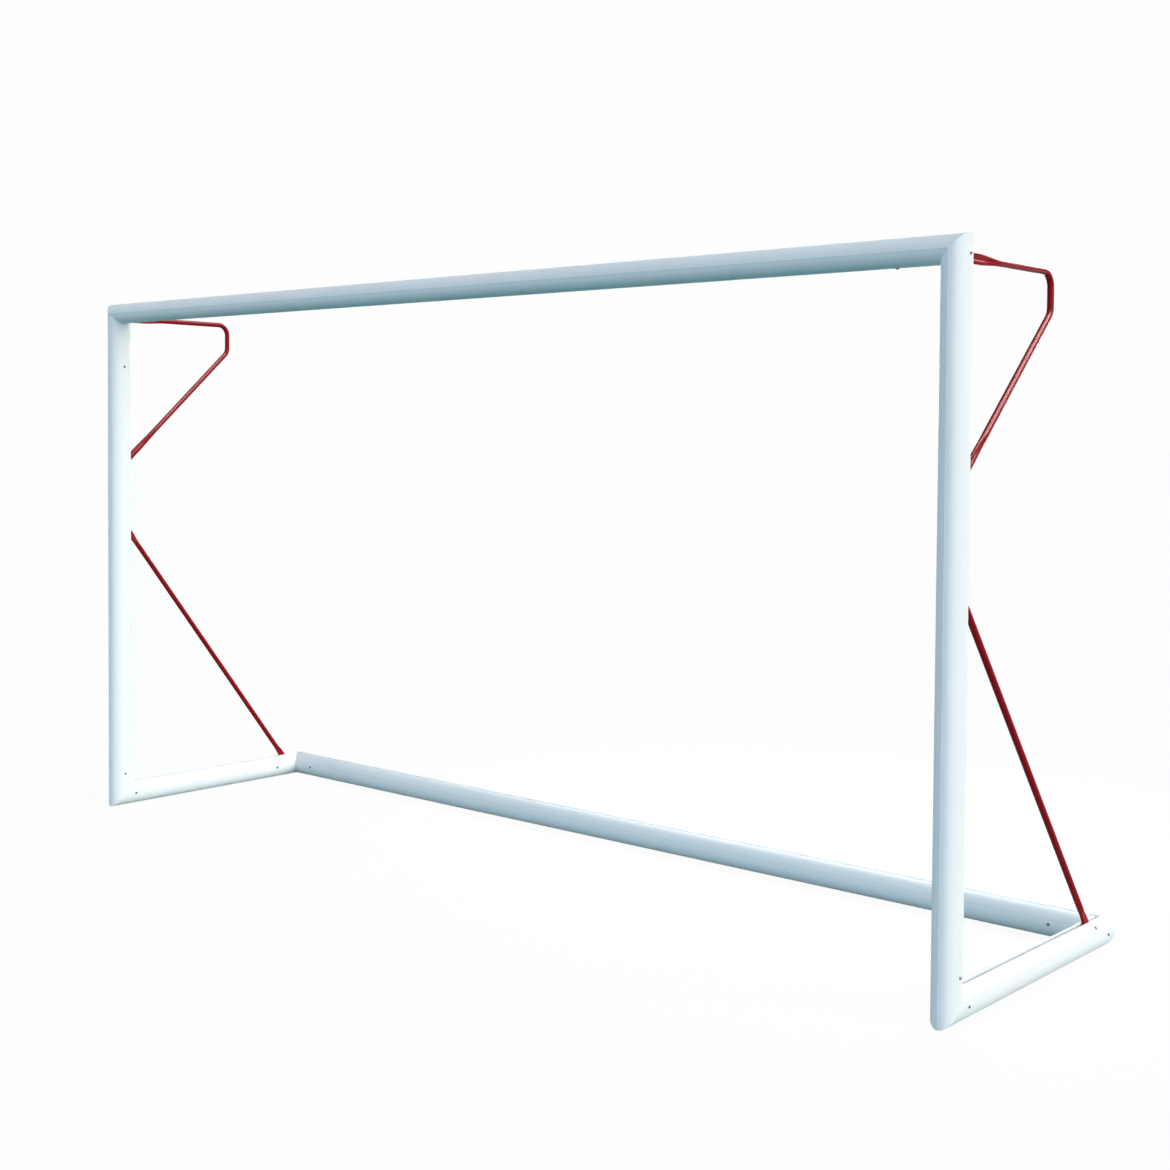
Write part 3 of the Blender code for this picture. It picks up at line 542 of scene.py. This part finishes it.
def crushed_tube_tree():
    """Bends a tube along its corner points, in a plane square to X, and crushes both ends to upright blades.

    A blade is thin in its middle and thicker at its folds, with a dimple where the round tube runs into it.
    The corner points bring a blade's form, and as cut the direction that its end is square to."""
    tree, given = new_geometry_tree(
        "crushed_tube", "Tube", Corners="Geometry", Bend_Radius="Float", Tube_Radius="Float",
        Flat_Length="Float", Taper_Length="Float", Crease_Depth="Float", Crease_At="Float",
        Crease_Width="Float", Dimple_Depth="Float", Cut_Reach="Float", Coat="Material")
    path = add_node(tree, "GeometryNodeMeshToCurve", Mesh=given["Corners"])
    bent = add_node(tree, "GeometryNodeFilletCurve", {"mode": "POLY"}, Curve=path, Count=BEND_STEPS,
                    Radius=given["Bend Radius"])
    even = add_node(tree, "GeometryNodeResampleCurve", {"mode": "LENGTH"}, Curve=bent, Length=TUBE_STEP)
    passed = add_node(tree, "GeometryNodeSplineParameter").outputs["Length"]
    whole = add_node(tree, "GeometryNodeSplineLength").outputs["Length"]
    left_over = add_node(tree, MATH, {"operation": "SUBTRACT"}, i0=whole, i1=passed)
    nearest = add_node(tree, MATH, {"operation": "MINIMUM"}, i0=passed, i1=left_over)
    here = add_node(tree, "GeometryNodeInputPosition")
    spine = add_node(tree, "GeometryNodeStoreNamedAttribute", {"data_type": "FLOAT"}, Geometry=even,
                     Name="to_end", Value=nearest)
    spine = add_node(tree, "GeometryNodeStoreNamedAttribute", {"data_type": "FLOAT_VECTOR"}, Geometry=spine,
                     Name="centre", Value=here)
    spine = add_node(tree, "GeometryNodeStoreNamedAttribute", {"data_type": "FLOAT_VECTOR"}, Geometry=spine,
                     Name="heading", Value=add_node(tree, "GeometryNodeInputTangent"))
    circle = add_node(tree, "GeometryNodeCurvePrimitiveCircle", {"mode": "RADIUS"},
                      Resolution=TUBE_SEGMENTS, Radius=1.0)
    profile = add_node(tree, "GeometryNodeStoreNamedAttribute", {"data_type": "FLOAT_VECTOR"},
                       Geometry=circle, Name="around", Value=here)
    swept = add_node(tree, "GeometryNodeCurveToMesh", Curve=spine, Profile_Curve=profile, Fill_Caps=True)
    read = {}
    for name in TUBE_NOTES:
        kind = "FLOAT" if name == "to_end" else "FLOAT_VECTOR"
        read[name] = add_node(tree, "GeometryNodeInputNamedAttribute", {"data_type": kind}, Name=name)
    blade_tall, blade_middle, blade_fold = add_node(tree, SPLIT, Vector=read["blade"]).outputs
    around = add_node(tree, SPLIT, Vector=read["around"])
    cosine, sine = around.outputs["X"], around.outputs["Y"]
    taper_end = add_node(tree, MATH, {"operation": "ADD"}, i0=given["Flat Length"], i1=given["Taper Length"])
    crush = add_node(tree, RANGE, {"interpolation_type": "SMOOTHSTEP"}, Value=read["to_end"],
                     i1=given["Flat Length"], i2=taper_end, i3=1.0, i4=0.0)
    # Across the blade: its half thickness grows from the middle to the folds and closes round at them.
    sine_squared = add_node(tree, MATH, {"operation": "MULTIPLY"}, i0=sine, i1=sine)
    swell = add_node(tree, MATH, {"operation": "SUBTRACT"}, i0=blade_fold, i1=blade_middle)
    thick = add_node(tree, MATH, {"operation": "MULTIPLY_ADD"}, i0=swell, i1=sine_squared, i2=blade_middle)
    steep = add_node(tree, MATH, {"operation": "ABSOLUTE"}, i0=cosine)
    rounded = add_node(tree, MATH, {"operation": "POWER"}, i0=steep, i1=FOLD_POWER)
    facing = add_node(tree, MATH, {"operation": "SIGN"}, i0=cosine)
    skin = add_node(tree, MATH, {"operation": "MULTIPLY"}, i0=rounded, i1=facing)
    blade_x = add_node(tree, MATH, {"operation": "MULTIPLY"}, i0=skin, i1=thick)
    round_x = add_node(tree, MATH, {"operation": "MULTIPLY"}, i0=cosine, i1=given["Tube Radius"])
    mixed_x = add_node(tree, BLEND, {"data_type": "FLOAT"}, i0=crush, i2=round_x, i3=blade_x)
    # The dimple is deepest halfway along the taper, where crush times the rest is a quarter, and in the
    # middle of each face.
    uncrushed = add_node(tree, MATH, {"operation": "SUBTRACT"}, i0=1.0, i1=crush)
    halfway = add_node(tree, MATH, {"operation": "MULTIPLY"}, i0=crush, i1=uncrushed)
    depth = add_node(tree, MATH, {"operation": "MULTIPLY"}, i0=given["Dimple Depth"], i1=-4.0)
    sunk = add_node(tree, MATH, {"operation": "MULTIPLY"}, i0=halfway, i1=depth)
    cosine_squared = add_node(tree, MATH, {"operation": "MULTIPLY"}, i0=cosine, i1=cosine)
    middle = add_node(tree, MATH, {"operation": "MULTIPLY"}, i0=cosine_squared, i1=cosine)
    dimpled = add_node(tree, MATH, {"operation": "MULTIPLY_ADD"}, i0=sunk, i1=middle, i2=mixed_x)
    # The crease: the press pushes the whole blade in along one line, below its middle, from the outer side.
    from_crease = add_node(tree, MATH, {"operation": "SUBTRACT"}, i0=sine, i1=given["Crease At"])
    off_crease = add_node(tree, MATH, {"operation": "ABSOLUTE"}, i0=from_crease)
    pressed = add_node(tree, RANGE, {"interpolation_type": "SMOOTHSTEP"}, Value=off_crease, i1=0.0,
                       i2=given["Crease Width"], i3=given["Crease Depth"], i4=0.0)
    creased = add_node(tree, MATH, {"operation": "MULTIPLY"}, i0=pressed, i1=crush)
    final_x = add_node(tree, MATH, {"operation": "SUBTRACT"}, i0=dimpled, i1=creased)
    # Up the blade: the tube widens as it is crushed.
    half_tall = add_node(tree, BLEND, {"data_type": "FLOAT"}, i0=crush, i2=given["Tube Radius"],
                         i3=blade_tall)
    final_y = add_node(tree, MATH, {"operation": "MULTIPLY"}, i0=half_tall, i1=sine)
    sideways = add_node(tree, COMBINE, X=final_x)
    upright = add_node(tree, VECTOR, {"operation": "CROSS_PRODUCT"}, i0=(1.0, 0.0, 0.0), i1=read["heading"])
    offset = add_node(tree, VECTOR, {"operation": "MULTIPLY_ADD"}, i0=upright, i1=final_y, i2=sideways)
    # The cut: points near an end slide along the tube until the end face is square to the cut direction.
    off_cut = add_node(tree, VECTOR, {"operation": "DOT_PRODUCT"}, i0=offset, i1=read["cut"])
    along_cut = add_node(tree, VECTOR, {"operation": "DOT_PRODUCT"}, i0=read["heading"], i1=read["cut"])
    slide = add_node(tree, MATH, {"operation": "DIVIDE"}, i0=off_cut, i1=along_cut)
    fade = add_node(tree, RANGE, Value=read["to_end"], i1=0.0, i2=given["Cut Reach"], i3=-1.0, i4=0.0)
    faded = add_node(tree, MATH, {"operation": "MULTIPLY"}, i0=slide, i1=fade)
    slid = add_node(tree, VECTOR, {"operation": "MULTIPLY_ADD"}, i0=read["heading"], i1=faded, i2=offset)
    position = add_node(tree, VECTOR, {"operation": "ADD"}, i0=read["centre"], i1=slid)
    formed = add_node(tree, "GeometryNodeSetPosition", Geometry=swept, Position=position)
    outward = add_node(tree, "GeometryNodeFlipFaces", Mesh=formed)
    real = add_node(tree, "GeometryNodeRealizeInstances", Geometry=outward)
    coated = add_node(tree, "GeometryNodeSetMaterial", Geometry=real, Material=given["Coat"])
    add_node(tree, "NodeGroupOutput", Tube=coated)
    return tree


tube_start = post_y + BLADE_END
bracket_back = front_y + BRACKET_REACH
bracket_end = BRACKET_KNEE - (bracket_back - tube_start) * math.tan(BRACKET_SLOPE)
strut_slope = (STRUT_FOOT[1] - STRUT_TOP[1]) / (STRUT_FOOT[0] - STRUT_TOP[0])
strut_start = STRUT_TOP[1] + (tube_start - front_y - STRUT_TOP[0]) * strut_slope
strut_end = front_y + STRUT_TOP[0] + (ground_z + BLADE_END - STRUT_TOP[1]) / strut_slope
crushed_tube = crushed_tube_tree()
red_coat = red_powder_coat()
# Each tube: its corners from the post on, as places along Y and Z, then for each end the direction it is cut
# square to and the form it is crushed to, and the lengths of the crushed part and of the taper to it.
bracket_corners = [(tube_start, BRACKET_TOP), (bracket_back, BRACKET_TOP), (bracket_back, BRACKET_KNEE),
                   (tube_start, bracket_end)]
strut_corners = [(tube_start, strut_start), (strut_end, ground_z + BLADE_END)]
tubes = {
    "net_bracket": (bracket_corners, (Y_AXIS, Y_AXIS), (FLAT_END, OVAL_END), BRACKET_FLAT, BRACKET_TAPER),
    "strut": (strut_corners, (Y_AXIS, Z_AXIS), (OVAL_END, OVAL_END), STRUT_FLAT, STRUT_TAPER),
}
for side, sign in (("left", -1), ("right", 1)):
    for name, (corners, cut_ways, blades, flat, taper) in tubes.items():
        line = bpy.data.meshes.new(name + "_corners")
        points = [(sign * side_x, y, z) for y, z in corners]
        line.from_pydata(points, [(i, i + 1) for i in range(len(points) - 1)], [])
        for attribute, ends in (("cut", cut_ways), ("blade", blades)):
            for i, value in enumerate(line.attributes.new(attribute, "FLOAT_VECTOR", "POINT").data):
                value.vector = ends[i >= len(points) / 2]
        crease = CREASE_DEPTH if name == "net_bracket" else 0.0
        tube = run_tree(f"{side}_{name}_tube", line, crushed_tube, TUBE_SHARP_DEGREES,
                        Bend_Radius=BRACKET_BEND, Tube_Radius=TUBE_RADIUS, Flat_Length=flat,
                        Taper_Length=taper, Crease_Depth=sign * crease, Crease_At=CREASE_AT,
                        Crease_Width=CREASE_WIDTH, Dimple_Depth=DIMPLE_DEPTH, Cut_Reach=CUT_REACH,
                        Coat=red_coat)
        for note in TUBE_NOTES:
            tube.data.attributes.remove(tube.data.attributes[note])
        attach(tube, "root")
        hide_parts(f"{side}_{name}")


# Cross bolts: zinc-plated steel bolts with a flange, through both groove walls and the blade between them.
# They sit hidden in the profile, behind the access holes. Their solids come from the CAD and get their
# finish here.


def bright_zinc():
    """Bright zinc plate on steel: pale grey metal with a fine crystal mottle."""
    mottle_mm = 1.1
    grey, bright_grey = srgb("#8d9093"), srgb("#b4b6b8")
    material, tree = new_material("bright_zinc_plated_steel")
    coords = add_node(tree, "ShaderNodeTexCoord").outputs["Object"]
    mottle = add_node(tree, NOISE, Vector=coords, Scale=1000.0 / mottle_mm, Detail=3.0)
    colour = add_node(tree, BLEND, {"data_type": "RGBA"}, i0=mottle, i6=grey, i7=bright_grey)
    rough = add_node(tree, RANGE, Value=mottle, i3=0.32, i4=0.48)
    shader = add_node(tree, PRINCIPLED, Base_Color=colour, Roughness=rough, Metallic=1.0)
    add_node(tree, "ShaderNodeOutputMaterial", Surface=shader)
    return material


zinc = bright_zinc()
for name in bolt_nodes:
    nodes[name].data.materials.clear()
    nodes[name].data.materials.append(zinc)


# Floor, backdrop and lamps of a plain photo studio. Floor and backdrop are white to the camera and in gloss,
# and the floor keeps a soft shadow. To scattered light the floor is dark, so that the undersides of the bars
# stay in shade.

FLOOR_HALF = 400.0
FLOOR_DROP = 0.0005
GLOW_SHARE = 0.94


def shown_rays(tree):
    """1 for the camera's rays and those that gloss or a clear material sends on, 0 for scattered light."""
    rays = add_node(tree, "ShaderNodeLightPath").outputs
    mirrored = add_node(tree, MATH, {"operation": "MAXIMUM"}, i0=rays["Is Camera Ray"],
                        i1=rays["Is Glossy Ray"])
    return add_node(tree, MATH, {"operation": "MAXIMUM"}, i0=mirrored, i1=rays["Is Transmission Ray"])


def studio_floor():
    """Seamless white floor covering: plain, with the soft shadow of what stands on it."""
    material, tree = new_material("studio_floor")
    glow = add_node(tree, "ShaderNodeEmission", Color=srgb("#ffffff"), Strength=1.0)
    matt = add_node(tree, "ShaderNodeBsdfDiffuse", Color=srgb("#ffffff"))
    shown = add_node(tree, "ShaderNodeMixShader", i0=GLOW_SHARE, i1=matt, i2=glow)
    dark = add_node(tree, "ShaderNodeBsdfDiffuse", Color=srgb("#4b878b"))
    mixed = add_node(tree, "ShaderNodeMixShader", i0=shown_rays(tree), i1=dark, i2=shown)
    add_node(tree, "ShaderNodeOutputMaterial", Surface=mixed)
    return material


floor_corners = [(x * FLOOR_HALF, y * FLOOR_HALF, -FLOOR_DROP)
                 for x, y in ((-1, -1), (1, -1), (1, 1), (-1, 1))]
floor_mesh = bpy.data.meshes.new("floor")
floor_mesh.from_pydata(floor_corners, [], [(0, 1, 2, 3)])
floor_mesh.materials.append(studio_floor())
new_object("floor", floor_mesh)

backdrop = bpy.data.worlds.new("studio")
bpy.context.scene.world = backdrop
backdrop.use_nodes = True
sky = backdrop.node_tree
sky.nodes.clear()
soft = add_node(sky, "ShaderNodeBackground", Color=srgb("#909da0"), Strength=1.0)
white = add_node(sky, "ShaderNodeBackground", Color=srgb("#fefefe"), Strength=1.0)
mixed = add_node(sky, "ShaderNodeMixShader", i0=shown_rays(sky), i1=soft, i2=white)
add_node(sky, "ShaderNodeOutputWorld", Surface=mixed)

# Each lamp: the direction it shines from, its strength, the spread of its disc in degrees, and its colour.
# The two panels show in gloss alone: the overhead one as the bright line on tubes that slope away from the
# camera, the one at the back in the creases of the crushed ends. The overhead one is strong, because the
# coats' specular levels are low.
lamps = {
    "front_lamp": ((0.0, -1.0, 0.14), 1.74, 60.0, "#dde9ff"),
    "side_lamp": ((1.0, 0.1, 0.2), 3.0, 40.0, "#fff8f5"),
    "rear_lamp": ((-0.55, 0.82, 0.05), 1.6, 40.0, "#f6fbff"),
    "overhead_panel": ((0.483, 0.104, 0.867), 50.0, 60.0, "#fff6f2"),
    "back_panel": ((0.0, 0.88, 0.47), 3.0, 24.0, "#fff6f2"),
}
for name, (towards, strength, spread, colour) in lamps.items():
    lamp = bpy.data.lights.new(name, "SUN")
    lamp.energy = strength
    lamp.angle = math.radians(spread)
    lamp.color = srgb(colour)[:3]
    lamp_object = new_object(name, lamp)
    lamp_object.rotation_euler = Vector(towards).to_track_quat("Z", "Y").to_euler()
    lamp_object.visible_diffuse = not name.endswith("_panel")

# A low softbox behind the goal. It lights the upper sides of the ground bars but not the crossbar's.
SOFTBOX_PLACE, SOFTBOX_FACING = Vector((1.0, 1.7, 1.7)), Vector((0.0, -0.6, -0.8))
SOFTBOX_LENGTH, SOFTBOX_WIDTH, SOFTBOX_WATTS = 3.0, 0.8, 48.0
softbox = bpy.data.lights.new("low_softbox", "AREA")
softbox.shape, softbox.size, softbox.size_y = "RECTANGLE", SOFTBOX_LENGTH, SOFTBOX_WIDTH
softbox.energy = SOFTBOX_WATTS
softbox.color = srgb("#fdfeff")[:3]
softbox_object = new_object("low_softbox", softbox)
softbox_object.location = SOFTBOX_PLACE
softbox_object.rotation_euler = (-SOFTBOX_FACING).to_track_quat("Z", "Y").to_euler()
softbox_object.visible_camera = False


# Camera at the photograph's viewing angle, at the eye level of a standing person, with the small shift that
# the photograph's framing needs.

CAMERA_PLACE = Vector((4.1258, -4.3308, 1.5549))
CAMERA_YAW, CAMERA_PITCH, CAMERA_ROLL = 0.7113, -0.0332, 0.0077
IMAGE_SIZE = 1170.0
FOCAL_PIXELS = 1650.59
CENTRE_X, CENTRE_Y = 617.52, 493.92
SENSOR_MM = 36.0
FARTHEST_SEEN = 2000.0

lens = bpy.data.cameras.new("camera")
lens.sensor_width = SENSOR_MM
lens.lens = FOCAL_PIXELS / IMAGE_SIZE * SENSOR_MM
lens.shift_x = (IMAGE_SIZE / 2 - CENTRE_X) / IMAGE_SIZE
lens.shift_y = (CENTRE_Y - IMAGE_SIZE / 2) / IMAGE_SIZE
lens.clip_end = FARTHEST_SEEN
level = Vector((math.cos(CAMERA_YAW), math.sin(CAMERA_YAW), 0.0))
ahead = Vector((-math.sin(CAMERA_YAW), math.cos(CAMERA_YAW), 0.0))
looks = ahead * math.cos(CAMERA_PITCH) + Z_AXIS * math.sin(CAMERA_PITCH)
plumb = level.cross(looks)
right = level * math.cos(CAMERA_ROLL) + plumb * math.sin(CAMERA_ROLL)
up = plumb * math.cos(CAMERA_ROLL) - level * math.sin(CAMERA_ROLL)
turn = Matrix((right, up, -looks)).transposed().to_4x4()
camera = new_object("camera", lens)
camera.matrix_world = Matrix.Translation(CAMERA_PLACE) @ turn
bpy.context.scene.camera = camera
bpy.context.scene.view_settings.view_transform = "Standard"
